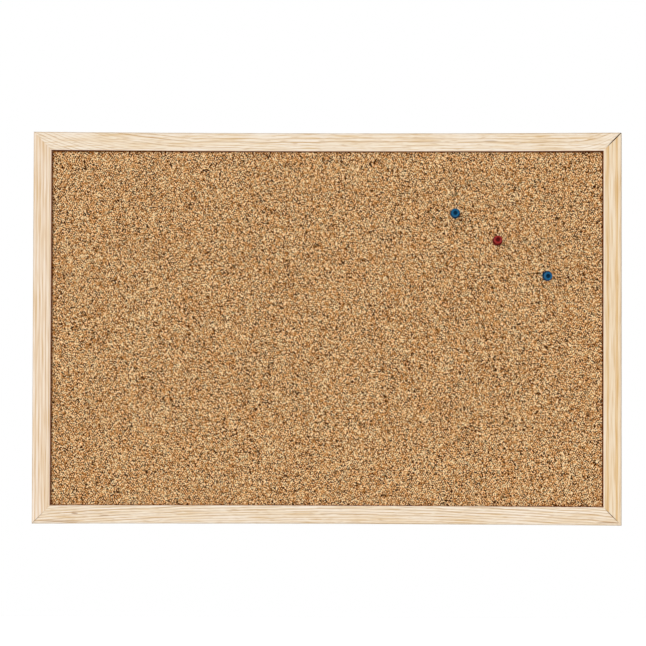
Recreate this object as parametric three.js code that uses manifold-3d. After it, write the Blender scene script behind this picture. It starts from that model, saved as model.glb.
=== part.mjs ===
// A framed cork pin board. Four mitred pine bars hold a panel of cork on soft fibreboard in a groove,
// three push pins stand in the cork, and two hangers are screwed to the back of the side bars.
// Millimetres. X runs to the right, Y runs back into the wall and Z runs up.
// The origin is the middle of the top bar's back face, which bears against the wall.

import * as THREE from "three";
import { mergeVertices } from "three/addons/utils/BufferGeometryUtils.js";
import Module from "manifold-3d";

// Board
const boardWidth = 600;
const boardHeight = 400;
const fitGap = 0.3; // clearance between pieces that meet

// Frame bars
const barFace = 18.7; // width of a bar seen from the front
const frontLip = 2.6; // wood in front of the panel
const rearLip = 3.1; // wood behind the panel
const grooveDepth = 6; // how far the groove runs in from the inner edge
const outerRound = 2; // round-over on the front outer edge
const innerRound = 1; // round-over on the front inner edge
const backEase = 0.6; // eased edges at the back
const mitreGap = 0.3; // glue line in each mitre

// Panel
const corkThickness = 2.5;
const coreThickness = 7.2;
const paperThickness = 0.4;
const glueLine = 0.3;
const panelPlay = 0.8; // room between the panel's edge and the bottom of the groove

// Staples across the back of each mitre
const stapleCrown = 9; // outside width
const stapleLeg = 9; // length from the crown to the points
const stapleWireWidth = 1.2;
const stapleWireThickness = 0.7;
const stapleBend = 1.1; // outside radius of the two bends
const stapleSink = 0.4; // depth of the crown below the back of the bars
const stapleEdge = 1.4; // wood between the outer staple and the outside of the frame
const stapleSpacing = 5.5; // from the outer staple to the inner one, along either bar

// Hangers
const hangerDrop = 80; // from the top of the board down to a ring's hinge
const strapWidth = 9;
const strapThickness = 0.7;
const strapTail = 6; // from the screw down to the strap's lower end
const strapEndRound = 4;
const strapFoldGap = 0.2; // between the strap's two layers
const strapNeckBend = 0.8; // radius of the bend where the fold closes under the ring
const ringWire = 2; // diameter
const ringPlay = 0.5; // between the strap's side and the ring's bend
const ringCorner = 2; // bend radius at the ends of the straight side
const ringLeg = 3; // straight length of each leg
const ringButt = 0.6; // gap where the wire's two ends face each other

// Hanger screws
const screwBelowRing = 3; // between the hanging ring and the screw's head
const screwWall = 1.55; // wood between a screw's pilot hole and the groove
const screwShank = 3; // diameter
const screwLength = 11; // under the head
const screwPoint = 3; // length of the taper at the tip
const screwHead = 6; // diameter
const screwHeadRim = 0.7; // height of the head's straight rim
const screwHeadDome = 1.5; // height of the dome above the rim
const recessLength = 3.4; // cross recess in the head
const recessWidth = 0.9;
const recessDepth = 1.2;

// Push pins
const flangeDiameter = 10.2;
const flangeThickness = 1.5;
const flangeCone = 6.6; // diameter where the stem grows out of the flange
const waistDiameter = 4.8;
const waistHeight = 3.1; // from the flange up to the narrowest place
const stemHeight = 7.9; // from the flange up to the cap
const capDiameter = 8.2;
const capHeight = 3.2;
const capRound = 1; // rounding of the cap's top edge
const wellDiameter = 4.6; // hollow that keeps the cap from sinking as it cools
const wellDepth = 3;
const wellDraft = 0.25; // how far its wall leans in on the way down
const wellRound = 0.4; // rounding of its mouth and its floor
const headEdge = 0.5; // rounding of the other moulded edges
const needleDiameter = 1.1;
const needleLength = 9; // outside the head
const needlePoint = 2.6; // length of the taper at the tip
const needleProud = 0.4; // how far its blunt end stands above the floor of the well

// Where each pin stands, from the board's right and top edges, and how far its head leans, in degrees.
const bluePlastic = 0x1f6288;
const redPlastic = 0xa33033;
const pins = [
  { name: "pin_blue_upper", colour: bluePlastic, fromRight: 169.4, fromTop: 82.8, right: -1.4, up: -0.5 },
  { name: "pin_red", colour: redPlastic, fromRight: 126.4, fromTop: 110.6, right: 0.4, up: 3.1 },
  { name: "pin_blue_lower", colour: bluePlastic, fromRight: 75.7, fromTop: 146.4, right: 0.8, up: -2.4 },
];

// How finely round shapes are divided
const arcSteps = 3; // parts of a curve
const pinSides = 26;
const screwSides = 16;
const needleSides = 10;
const loopSteps = 7;
const wireSides = 8;
const ringSteps = 40;

// Sizes that follow from those above
const panelThickness = corkThickness + glueLine + coreThickness + glueLine + paperThickness;
const grooveWidth = panelThickness + 2 * fitGap;
const barDepth = frontLip + grooveWidth + rearLip;
const panelInset = barFace - grooveDepth + panelPlay;
const panelWidth = boardWidth - 2 * panelInset;
const panelHeight = boardHeight - 2 * panelInset;
const corkFront = frontLip + fitGap - barDepth;
const boardTop = barFace / 2;
const boardMiddle = boardTop - boardHeight / 2;
const stapleReach = (stapleCrown + stapleWireWidth) / 2 / Math.SQRT2;
const outerStapleInset = stapleEdge + stapleReach;
const innerStapleInset = outerStapleInset + stapleSpacing;
const strapFace = fitGap + 2 * strapThickness + strapFoldGap;
const loopInside = ringWire / 2 + fitGap;
const loopOutside = loopInside + strapThickness;
const hingeOut = fitGap + loopOutside;
const ringWidth = strapWidth + 2 * (ringPlay + ringCorner);
const ringHeight = ringCorner + ringLeg + ringWidth / 2;
const screwHeadHeight = screwHeadRim + screwHeadDome;
const screwDrop = ringHeight + ringWire / 2 + screwBelowRing + screwHead / 2;
const strapLength = screwDrop + strapTail;
const screwSeat = strapFace + fitGap;
const needleBore = needleDiameter / 2 + fitGap;
const screwBore = screwShank / 2 + fitGap;
const hangerInset = barFace - grooveDepth - screwWall - screwBore;
const headHeight = flangeThickness + stemHeight + capHeight;
const needleRoot = headHeight - wellDepth + needleProud;

const wasm = await Module();
wasm.setup();

// A closed geometry as a solid that can be cut.
function solidOf(geometry) {
  const bare = geometry.clone();
  bare.deleteAttribute("normal");
  bare.deleteAttribute("uv");
  const merged = mergeVertices(bare);
  const vertProperties = merged.attributes.position.array;
  const triVerts = new Uint32Array(merged.index.array);
  return new wasm.Manifold(new wasm.Mesh({ numProp: 3, vertProperties, triVerts }));
}

// A solid as a geometry again.
function geometryOf(solid) {
  const { vertProperties, triVerts } = solid.getMesh();
  const geometry = new THREE.BufferGeometry();
  geometry.setAttribute("position", new THREE.BufferAttribute(vertProperties, 3));
  geometry.setIndex(new THREE.BufferAttribute(triVerts, 1));
  geometry.computeVertexNormals();
  return geometry;
}

function cut(geometry, tools) {
  const rest = tools.reduce((solid, tool) => solid.subtract(solidOf(tool)), solidOf(geometry));
  return geometryOf(rest);
}

function common(first, second) {
  return geometryOf(solidOf(first).intersect(solidOf(second)));
}

// A closed outline through corners given as [x, y, radius], with each corner rounded to its radius.
function roundedOutline(corners) {
  const outline = new THREE.Shape();
  const points = corners.map(([x, y]) => new THREE.Vector2(x, y));
  points.forEach((corner, i) => {
    const before = points.at(i - 1).clone().sub(corner).normalize();
    const after = points[(i + 1) % points.length].clone().sub(corner).normalize();
    const radius = corners[i][2];
    const half = before.angleTo(after) / 2;
    const start = corner.clone().addScaledVector(before, radius / Math.tan(half));
    if (i === 0) outline.moveTo(start.x, start.y);
    else outline.lineTo(start.x, start.y);
    if (radius === 0) return;
    const bisector = before.clone().add(after).normalize();
    const centre = corner.clone().addScaledVector(bisector, radius / Math.sin(half));
    const end = corner.clone().addScaledVector(after, radius / Math.tan(half));
    const startAngle = start.clone().sub(centre).angle();
    const endAngle = end.clone().sub(centre).angle();
    outline.absarc(centre.x, centre.y, radius, startAngle, endAngle, before.cross(after) > 0);
  });
  outline.closePath();
  return outline;
}

function extrude(outline, depth, curveSegments = arcSteps) {
  return new THREE.ExtrudeGeometry(outline, { depth, bevelEnabled: false, curveSegments });
}

// An outline drawn in Y and Z, extruded along X and centred on it.
function alongX(outline, length, curveSegments = arcSteps) {
  const yAxis = new THREE.Vector3(0, 1, 0);
  const zAxis = new THREE.Vector3(0, 0, 1);
  const xAxis = new THREE.Vector3(1, 0, 0);
  const turn = new THREE.Matrix4().makeBasis(yAxis, zAxis, xAxis);
  return extrude(outline, length, curveSegments).translate(0, 0, -length / 2).applyMatrix4(turn);
}

// A round bar along Y from one height to another.
function roundBar(radius, from, to, sides) {
  return new THREE.CylinderGeometry(radius, radius, to - from, sides).translate(0, (from + to) / 2, 0);
}

function material(colour, roughness, metalness) {
  return new THREE.MeshStandardMaterial({ color: colour, roughness, metalness });
}

function piece(name, geometry, finish) {
  const mesh = new THREE.Mesh(geometry, finish);
  mesh.name = name;
  return mesh;
}

const pine = () => material(0xecd7bb, 0.55, 0);
const galvanisedWire = () => material(0xb4b2aa, 0.4, 1);
const zincSteel = () => material(0xc4c6c4, 0.35, 1);

// The section of a bar, with the groove for the panel: Z is 0 at the outer edge, Y is 0 at the back.
function barSection() {
  const grooveFloor = grooveDepth - barFace;
  const ease = Math.min(backEase, rearLip);
  return roundedOutline([
    [0, 0, ease],
    [0, -barFace, ease],
    [-rearLip, -barFace, 0],
    [-rearLip, grooveFloor, 0],
    [-rearLip - grooveWidth, grooveFloor, 0],
    [-rearLip - grooveWidth, -barFace, 0],
    [-barDepth, -barFace, Math.min(innerRound, frontLip)],
    [-barDepth, 0, outerRound],
  ]);
}

// A bar with both ends slid back to the mitre: a point ends short by its distance from the outer edge.
function mitredBar(length) {
  const bar = alongX(barSection(), length);
  const points = bar.attributes.position;
  for (let i = 0; i < points.count; i += 1) {
    const inset = mitreGap / Math.SQRT2 - points.getZ(i);
    points.setX(i, Math.sign(points.getX(i)) * (length / 2 - inset));
  }
  return bar;
}

// A staple of flat wire, crown along X and chisel-pointed legs along -Y.
function stapleGeometry() {
  const half = stapleCrown / 2;
  const wire = stapleWireThickness;
  const innerBend = Math.max(stapleBend - wire, 0);
  const outline = roundedOutline([
    [-half, 0, stapleBend],
    [-half, -stapleLeg, 0],
    [wire - half, wire - stapleLeg, 0],
    [wire - half, -wire, innerBend],
    [half - wire, -wire, innerBend],
    [half - wire, wire - stapleLeg, 0],
    [half, -stapleLeg, 0],
    [half, 0, stapleBend],
  ]);
  return extrude(outline, stapleWireWidth).translate(0, 0, -stapleWireWidth / 2);
}

// The pocket that a staple sinks into, open at the back of the bars.
function staplePocket() {
  const outer = stapleCrown / 2 + fitGap;
  const inner = stapleCrown / 2 - stapleWireThickness - fitGap;
  const mouth = 2 * stapleSink;
  const underCrown = -stapleWireThickness - fitGap;
  const bottom = -stapleLeg - fitGap;
  const width = stapleWireWidth + 2 * fitGap;
  const outline = roundedOutline([
    [-outer, mouth, 0],
    [-outer, bottom, 0],
    [-inner, bottom, 0],
    [-inner, underCrown, 0],
    [inner, underCrown, 0],
    [inner, bottom, 0],
    [outer, bottom, 0],
    [outer, mouth, 0],
  ]);
  return extrude(outline, width).translate(0, 0, -width / 2);
}

// Puts a staple, or its pocket, across the mitre at one end of a bar: end is 1 or -1.
function acrossMitre(object, length, end, inset) {
  object.position.set(end * (length / 2 - inset), -stapleSink, -inset);
  object.rotation.y = (end * Math.PI) / 4;
  object.updateMatrix();
  return object;
}

function cornerPockets(length) {
  const pockets = [];
  for (const end of [-1, 1]) {
    for (const inset of [outerStapleInset, innerStapleInset]) {
      const place = acrossMitre(new THREE.Object3D(), length, end, inset);
      pockets.push(staplePocket().applyMatrix4(place.matrix));
    }
  }
  return pockets;
}

// The pilot hole for a hanger screw, at a place along the bar.
function screwPilot(along) {
  const bottom = screwSeat - screwLength - fitGap;
  return roundBar(screwBore, bottom, screwSeat, screwSides).translate(along, 0, -hangerInset);
}

// One side of the frame, with the two staples of the corner at its +X end.
function frameSide(name, corner, length, { x, z, turn }, pilots = []) {
  const bar = cut(mitredBar(length), [...cornerPockets(length), ...pilots]);
  const outer = piece(`staple_${corner}_outer`, stapleGeometry(), galvanisedWire());
  const inner = piece(`staple_${corner}_inner`, stapleGeometry(), galvanisedWire());
  const group = new THREE.Group();
  group.add(piece(`frame_bar_${name}`, bar, pine()));
  group.add(acrossMitre(outer, length, 1, outerStapleInset));
  group.add(acrossMitre(inner, length, 1, innerStapleInset));
  group.position.set(x, 0, boardMiddle + z);
  group.rotation.y = turn;
  return group;
}

function frame() {
  const right = boardWidth / 2;
  const top = boardHeight / 2;
  const screwHeight = top - hangerDrop - screwDrop;
  const leftPilot = [screwPilot(screwHeight)];
  const rightPilot = [screwPilot(-screwHeight)];
  const quarter = Math.PI / 2;
  const group = new THREE.Group();
  group.add(
    frameSide("top", "top_right", boardWidth, { x: 0, z: top, turn: 0 }),
    frameSide("right", "bottom_right", boardHeight, { x: right, z: 0, turn: quarter }, rightPilot),
    frameSide("bottom", "bottom_left", boardWidth, { x: 0, z: -top, turn: 2 * quarter }),
    frameSide("left", "top_left", boardHeight, { x: -right, z: 0, turn: -quarter }, leftPilot),
  );
  return group;
}

// Stands a pin, whose needle points along +Y, with the edge of its leaning flange just off the cork.
function placePin(object, pin) {
  const right = THREE.MathUtils.degToRad(pin.right);
  const up = THREE.MathUtils.degToRad(pin.up);
  const lean = Math.acos(Math.cos(right) * Math.cos(up));
  const standoff = fitGap + (flangeDiameter / 2) * Math.sin(lean);
  object.position.set(boardWidth / 2 - pin.fromRight, corkFront - standoff, boardTop - pin.fromTop);
  object.rotation.set(-up, 0, right);
  object.updateMatrix();
  return object;
}

// The hole that a pin's needle makes in the panel.
function needleHole(pin) {
  const hole = roundBar(needleBore, 0, needleLength + fitGap, needleSides);
  return hole.applyMatrix4(placePin(new THREE.Object3D(), pin).matrix);
}

// One layer of the panel, with the holes that the needles make in it.
function panelLayer(thickness, front) {
  const layer = new THREE.BoxGeometry(panelWidth, thickness, panelHeight);
  return cut(layer.translate(0, front + thickness / 2, boardMiddle), pins.map(needleHole));
}

function panel() {
  const coreFront = corkFront + corkThickness + glueLine;
  const paperFront = coreFront + coreThickness + glueLine;
  const cork = panelLayer(corkThickness, corkFront);
  const core = panelLayer(coreThickness, coreFront);
  const paper = panelLayer(paperThickness, paperFront);
  const group = new THREE.Group();
  group.add(piece("cork_sheet", cork, material(0xb68c60, 0.9, 0)));
  group.add(piece("softboard_core", core, material(0x93704a, 0.95, 0)));
  group.add(piece("backing_paper", paper, material(0xb48d5c, 0.85, 0)));
  return group;
}

// Half section of a pin's head, from the floor of the well round to the bore that the needle runs through.
function headSection() {
  const top = -headHeight;
  const capUnder = top + capHeight;
  const waist = -flangeThickness - waistHeight;
  const edge = Math.min(headEdge, flangeThickness / 2, capHeight / 2);
  const wellMouth = wellDiameter / 2;
  const wellWall = wellMouth - wellDraft;
  const wellFloor = top + wellDepth;
  const capRadius = capDiameter / 2;
  const waistRadius = waistDiameter / 2;
  const flangeRadius = flangeDiameter / 2;
  const section = new THREE.Path();
  section.moveTo(needleBore, wellFloor);
  section.lineTo(wellWall - wellRound, wellFloor);
  section.quadraticCurveTo(wellWall, wellFloor, wellWall, wellFloor - wellRound);
  section.lineTo(wellMouth, top + wellRound);
  section.quadraticCurveTo(wellMouth, top, wellMouth + wellRound, top);
  section.lineTo(capRadius - capRound, top);
  section.quadraticCurveTo(capRadius, top, capRadius, top + capRound);
  section.lineTo(capRadius, capUnder - edge);
  section.quadraticCurveTo(capRadius, capUnder, capRadius - edge, capUnder);
  const swell = (capUnder + waist) / 2;
  section.bezierCurveTo(waistRadius, capUnder, waistRadius, swell, waistRadius, waist);
  const flare = (waist - flangeThickness) / 2;
  section.quadraticCurveTo(waistRadius, flare, flangeCone / 2, -flangeThickness);
  section.lineTo(flangeRadius - edge, -flangeThickness);
  section.quadraticCurveTo(flangeRadius, -flangeThickness, flangeRadius, edge - flangeThickness);
  section.lineTo(flangeRadius, -edge);
  section.quadraticCurveTo(flangeRadius, 0, flangeRadius - edge, 0);
  section.lineTo(needleBore, 0);
  section.closePath();
  return section;
}

// Half section of a needle, from its root in the head to its tip.
function needleSection() {
  const radius = needleDiameter / 2;
  const section = new THREE.Path();
  section.moveTo(0, -needleRoot);
  section.lineTo(radius, -needleRoot);
  section.lineTo(radius, needleLength - needlePoint);
  section.lineTo(0, needleLength);
  return section;
}

function turned(section, sides) {
  return new THREE.LatheGeometry(section.getPoints(arcSteps), sides);
}

function pushPin(pin) {
  const group = placePin(new THREE.Group(), pin);
  const needleSteel = material(0xb9bcc0, 0.25, 1);
  group.add(piece(`${pin.name}_head`, turned(headSection(), pinSides), material(pin.colour, 0.25, 0)));
  group.add(piece(`${pin.name}_needle`, turned(needleSection(), needleSides), needleSteel));
  return group;
}

// Side view of a strap folded round the ring's wire: up the bar, round the wire and back down on itself.
function strapSection() {
  const back = fitGap;
  const upperInside = strapFace - strapThickness;
  const neckY = strapFace + strapNeckBend;
  const neckZ = -Math.sqrt((loopOutside + strapNeckBend) ** 2 - (neckY - hingeOut) ** 2);
  const toNeck = Math.atan2(neckZ, neckY - hingeOut);
  const section = new THREE.Shape();
  section.moveTo(back, -strapLength);
  section.lineTo(back, 0);
  section.absarc(hingeOut, 0, loopOutside, Math.PI, toNeck, true);
  section.absarc(neckY, neckZ, strapNeckBend, toNeck + Math.PI, Math.PI, false);
  section.lineTo(strapFace, -strapLength);
  section.lineTo(upperInside, -strapLength);
  section.absarc(neckY, neckZ, strapNeckBend + strapThickness, Math.PI, toNeck + Math.PI, true);
  section.absarc(hingeOut, 0, loopInside, toNeck, Math.PI, false);
  section.lineTo(back + strapThickness, -strapLength);
  section.closePath();
  return section;
}

// The strap's outline seen from behind, as a block that trims the lower end round.
function strapPlan() {
  const half = strapWidth / 2;
  const endRound = Math.min(strapEndRound, half);
  const above = 2 * loopOutside;
  const reach = hingeOut + above;
  const outline = roundedOutline([
    [-half, above, 0],
    [-half, -strapLength, endRound],
    [half, -strapLength, endRound],
    [half, above, 0],
  ]);
  return extrude(outline, reach).rotateX(Math.PI / 2).translate(0, reach, 0);
}

function strapGeometry() {
  const hole = roundBar(screwBore, 0, screwSeat, screwSides).translate(0, 0, -screwDrop);
  return cut(common(alongX(strapSection(), strapWidth, loopSteps), strapPlan()), [hole]);
}

// The wire of a ring: a straight side on the hinge, two legs and a round bow, open at the butt.
class RingCurve extends THREE.Curve {
  constructor() {
    super();
    const half = ringWidth / 2;
    const bow = ringHeight - half;
    const turn = half - ringCorner;
    this.outline = new THREE.Path();
    this.outline.moveTo(ringButt / 2, 0);
    this.outline.lineTo(turn, 0);
    this.outline.absarc(turn, -ringCorner, ringCorner, Math.PI / 2, 0, true);
    this.outline.absarc(0, -bow, half, 0, -Math.PI, true);
    this.outline.absarc(-turn, -ringCorner, ringCorner, Math.PI, Math.PI / 2, true);
    this.outline.lineTo(-ringButt / 2, 0);
  }

  getPoint(t) {
    const { x, y } = this.outline.getPoint(t);
    return new THREE.Vector3(x, 0, y);
  }
}

function ringGeometry() {
  const wire = new THREE.Shape().absarc(0, 0, ringWire / 2, 0, 2 * Math.PI);
  const extrudePath = new RingCurve();
  return new THREE.ExtrudeGeometry(wire, { steps: ringSteps, extrudePath, curveSegments: wireSides / 2 });
}

// How far a hanging ring leans out, lying on the edges of the strap's outer layer.
function ringLean() {
  const half = ringWidth / 2;
  const bow = ringHeight - half;
  const reach = bow + Math.sqrt(half ** 2 - (strapWidth / 2) ** 2) - ringWire / 2;
  return Math.asin((strapFace + fitGap + ringWire / 2 - hingeOut) / reach);
}

// Half section of a pan-head screw: its seat under the head is at 0 and its point is down.
function screwSection() {
  const radius = screwShank / 2;
  const headRadius = screwHead / 2;
  const section = new THREE.Path();
  section.moveTo(0, -screwLength);
  section.lineTo(radius, screwPoint - screwLength);
  section.lineTo(radius, 0);
  section.lineTo(headRadius, 0);
  section.absellipse(0, screwHeadRim, headRadius, screwHeadDome, 0, Math.PI / 2);
  return section;
}

function screwGeometry() {
  const blade = () => new THREE.BoxGeometry(recessLength, 2 * recessDepth, recessWidth);
  const across = blade().translate(0, screwHeadHeight, 0);
  const upright = blade().rotateY(Math.PI / 2).translate(0, screwHeadHeight, 0);
  return cut(turned(screwSection(), screwSides), [across, upright]);
}

function hanger(side, x) {
  const strap = piece(`hanger_strap_${side}`, strapGeometry(), zincSteel());
  const ring = piece(`hanger_ring_${side}`, ringGeometry(), zincSteel());
  ring.position.y = hingeOut;
  ring.rotation.x = ringLean();
  const screw = piece(`hanger_screw_${side}`, screwGeometry(), zincSteel());
  screw.position.set(0, screwSeat, -screwDrop);
  const group = new THREE.Group();
  group.add(strap, ring, screw);
  group.position.set(x, 0, boardTop - hangerDrop);
  return group;
}

const hangerX = boardWidth / 2 - hangerInset;
const board = new THREE.Group();
board.add(frame(), panel());
board.add(hanger("left", -hangerX), hanger("right", hangerX));
pins.forEach((pin) => board.add(pushPin(pin)));

export default board;
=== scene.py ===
# A framed cork pin board with three push pins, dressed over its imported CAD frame.
# Metres. X runs to the right, Y back into the wall and Z up, from the middle of the top bar's back.

import math

import bmesh
import bpy
from mathutils import Matrix, Quaternion, Vector


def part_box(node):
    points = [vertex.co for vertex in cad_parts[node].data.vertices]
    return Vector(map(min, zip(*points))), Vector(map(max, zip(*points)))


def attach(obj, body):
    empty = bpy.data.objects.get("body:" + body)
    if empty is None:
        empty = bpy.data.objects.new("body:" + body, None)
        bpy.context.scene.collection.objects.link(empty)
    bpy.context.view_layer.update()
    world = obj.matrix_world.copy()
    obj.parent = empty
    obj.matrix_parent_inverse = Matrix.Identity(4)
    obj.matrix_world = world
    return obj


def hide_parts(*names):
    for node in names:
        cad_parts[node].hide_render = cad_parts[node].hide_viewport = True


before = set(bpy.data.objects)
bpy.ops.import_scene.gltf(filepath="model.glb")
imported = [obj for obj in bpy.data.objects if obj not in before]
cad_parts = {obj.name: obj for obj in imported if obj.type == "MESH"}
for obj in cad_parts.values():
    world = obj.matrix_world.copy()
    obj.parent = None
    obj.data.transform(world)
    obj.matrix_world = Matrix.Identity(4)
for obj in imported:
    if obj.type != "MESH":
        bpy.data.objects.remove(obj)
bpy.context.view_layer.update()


# Frame bars
# Four lengths of pine, planed, sanded and thinly lacquered, with a groove in the inner edge for the panel.
# They are mitred, glued and stapled at the corners, and no two of the mitres close equally well.
MM = 0.001
left_low, left_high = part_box("frame_bar_left")
top_low, top_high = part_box("frame_bar_top")
bottom_low, bottom_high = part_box("frame_bar_bottom")
board_width = -2 * left_low.x
board_top = top_high.z
board_height = board_top - bottom_low.z
board_middle = board_top - board_height / 2
bar_face = top_high.z - top_low.z
bar_depth = -top_low.y
front_lip = 2.6 * MM
rear_lip = 3.1 * MM
groove_depth = 6 * MM
outer_round = 2 * MM
inner_round = 1 * MM
back_ease = 0.6 * MM
round_steps = 7
bar_cuts = 23  # divisions along a bar, so that it can bow
cut_tolerance = 0.0001 * MM
mitre_press = 0.02 * MM  # how far the bars are pressed into each other behind an open mitre
wedge_depth = 9 * MM  # where an open mitre closes, behind the face
slot_size = (9.3 * MM, 2.4 * MM, 1.45 * MM)  # for the crown of a staple
slot_corner = 0.5 * MM
quarter = math.radians(90)

# How far each mitre stands open at the front, at its outer and its inner end, and how much of that was
# taken off the bar that ends there, going clockwise.
mitre_open = {
    "top_left": (0.01 * MM, 0.03 * MM, 0.5),
    "top_right": (0.95 * MM, 0.05 * MM, 0.9),
    "bottom_right": (0.01 * MM, 0.03 * MM, 0.5),
    "bottom_left": (0.02 * MM, 0.01 * MM, 0.5),
}


def deselect():
    """Leaves nothing selected, so that the next operator acts on the new piece alone."""
    bpy.ops.object.select_all(action="DESELECT")


def begun(name, size=(1, 1, 1)):
    """Names and sizes the primitive that was just added, puts its place into its mesh and opens it."""
    piece = bpy.context.object
    piece.name = name
    piece.data.name = name
    piece.scale = size
    bpy.ops.object.transform_apply(location=True, rotation=True, scale=True)
    bpy.ops.object.mode_set(mode="EDIT")
    bpy.ops.mesh.select_mode(type="VERT")
    bpy.ops.mesh.select_all(action="SELECT")
    return piece


def pick(piece, kind, wanted):
    """In edit mode, selects the vertices, edges or faces whose middle passes a test."""
    bpy.ops.mesh.select_mode(type=kind)
    bpy.ops.mesh.select_all(action="DESELECT")
    mesh = bmesh.from_edit_mesh(piece.data)
    items = {"VERT": mesh.verts, "EDGE": mesh.edges, "FACE": mesh.faces}[kind]
    for item in items:
        corners = [item] if kind == "VERT" else list(item.verts)
        middle = sum((corner.co for corner in corners), Vector()) / len(corners)
        if wanted(middle):
            item.select_set(True)
    mesh.select_flush_mode()
    bmesh.update_edit_mesh(piece.data)


def near(a, b):
    """Whether two lengths are the same, to a hundredth of a millimetre."""
    return abs(a - b) < 0.01 * MM


def run(x, y, z):
    """Draws the selected face or end out in a straight line."""
    bpy.ops.mesh.extrude_region_move(TRANSFORM_OT_translate={"value": (x, y, z)})


def faces_out():
    """Turns every face of the open mesh outwards, and leaves edit mode."""
    bpy.ops.mesh.select_all(action="SELECT")
    bpy.ops.mesh.normals_make_consistent(inside=False)
    bpy.ops.object.mode_set(mode="OBJECT")


def use_modifier(piece, kind, **settings):
    """Adds a modifier and applies it to the mesh."""
    made = piece.modifiers.new(kind, kind)
    for setting, value in settings.items():
        setattr(made, setting, value)
    bpy.context.view_layer.objects.active = piece
    bpy.ops.object.modifier_apply(modifier=made.name)


def cut_away(piece, cutter):
    """Takes the space of a closed cutter out of a closed piece."""
    use_modifier(piece, "BOOLEAN", operation="DIFFERENCE", object=cutter, solver="MANIFOLD")


def smooth(piece, degrees, even=True):
    """Shades a finished mesh smooth up to an angle: an even shading keeps its flat faces flat."""
    deselect()
    piece.select_set(True)
    bpy.context.view_layer.objects.active = piece
    bpy.ops.object.shade_smooth_by_angle(angle=math.radians(degrees))
    if even:
        use_modifier(piece, "WEIGHTED_NORMAL", keep_sharp=True)


def moved(piece, place):
    """Moves a finished piece inside its mesh, so that its object stays at the origin."""
    piece.data.transform(place)
    piece.data.update()
    return piece


def copied(piece, name, place):
    """A copy of a modelled piece, with a mesh of its own, at its place."""
    twin = piece.copy()
    twin.data = piece.data.copy()
    twin.name = name
    twin.data.name = name
    bpy.context.scene.collection.objects.link(twin)
    return moved(twin, place)


def dressed(piece, finish, body, slot, *nodes):
    """Gives a piece its material and the body that it rides on, and hides the nodes it stands for: slot is
    not used.
    """
    piece.data.materials.clear()
    piece.data.materials.append(finish)
    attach(piece, body)
    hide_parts(*nodes)


def mitre_cuts(length, end, opening):
    """A point and the facing of both cuts at the right (1) or left (-1) end: the joint and its open wedge."""
    outer_gap, inner_gap, share = opening
    taken = share if end > 0 else 1 - share
    outward = Vector((end, 0, -1)).normalized()
    outer_tip = Vector((end * length / 2, -bar_depth, bar_face / 2))
    inner_tip = outer_tip - Vector((end * bar_face, 0, bar_face))
    outer = outer_tip - outward * outer_gap * taken
    inner = inner_tip - outward * inner_gap * taken
    widest = outer_tip if outer_gap > inner_gap else inner_tip
    behind = widest + Vector((0, wedge_depth, 0))
    facing = (inner - outer).cross(behind - outer).normalized()
    if facing.dot(outward) < 0:
        facing.negate()
    return [(outer_tip + outward * mitre_press / 2, outward), (outer, facing)]


def bar_mesh(name, length, openings, bow):
    """One bar, drawn along X with its outer edge up: openings are those of its left and right mitres."""
    deselect()
    bpy.ops.mesh.primitive_cube_add(size=1, location=(0, -bar_depth / 2, 0))
    bar = begun(name, (length, bar_depth, bar_face))
    for depth in (rear_lip, bar_depth - front_lip):
        bpy.ops.mesh.select_all(action="SELECT")
        bpy.ops.mesh.bisect(plane_co=(0, -depth, 0), plane_no=(0, 1, 0))
    inner_edge = -bar_face / 2
    pick(bar, "FACE", lambda at: near(at.z, inner_edge) and front_lip - bar_depth < at.y < -rear_lip)
    run(0, 0, groove_depth)
    rounds = [
        (-bar_depth, bar_face / 2, outer_round),
        (-bar_depth, inner_edge, inner_round),
        (0, bar_face / 2, back_ease),
        (0, inner_edge, back_ease),
    ]
    for y, z, radius in rounds:
        pick(bar, "EDGE", lambda at: near(at.x, 0) and near(at.y, y) and near(at.z, z))
        bpy.ops.mesh.bevel(offset=radius, segments=round_steps, affect="EDGES")
    pick(bar, "EDGE", lambda at: near(at.x, 0))
    bpy.ops.mesh.subdivide(number_cuts=bar_cuts)
    for end, opening in zip((-1, 1), openings):
        for point, facing in mitre_cuts(length, end, opening):
            bpy.ops.mesh.select_all(action="SELECT")
            bpy.ops.mesh.bisect(
                plane_co=point, plane_no=facing, use_fill=True, clear_outer=True, threshold=cut_tolerance
            )
    faces_out()
    for corner in bar.data.vertices:
        share = 2 * corner.co.x / length
        if not near(corner.co.z, inner_edge + groove_depth):
            corner.co.z -= bow * (1 - share * share)
    return bar


def staple_places():
    """The place and the turn of each staple, by its name: its crown lies across its mitre."""
    places = {}
    for corner in mitre_open:
        for part in ("outer", "inner"):
            name = f"staple_{corner}_{part}"
            low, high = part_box(name)
            middle = (low + high) / 2
            slope = math.copysign(quarter / 2, middle.x * (middle.z - board_middle))
            crown = Matrix.Translation((middle.x, high.y, middle.z))
            places[name] = crown @ Matrix.Rotation(slope, 4, "Y")
    return places


def staple_slots():
    """A cutter for the slots that the staples press into the backs of the bars."""
    deselect()
    bpy.ops.mesh.primitive_cube_add(size=1)
    slot = begun("slot", slot_size)
    pick(slot, "EDGE", lambda at: near(abs(at.x), slot_size[0] / 2) and near(at.y, 0))
    bpy.ops.mesh.bevel(offset=slot_corner, segments=3, affect="EDGES")
    bpy.ops.object.mode_set(mode="OBJECT")
    slots = [copied(slot, f"slot_{name}", place) for name, place in staple_places().items()]
    bpy.data.objects.remove(slot)
    deselect()
    for slot in slots:
        slot.select_set(True)
    bpy.context.view_layer.objects.active = slots[0]
    bpy.ops.object.join()
    return bpy.context.object


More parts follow.
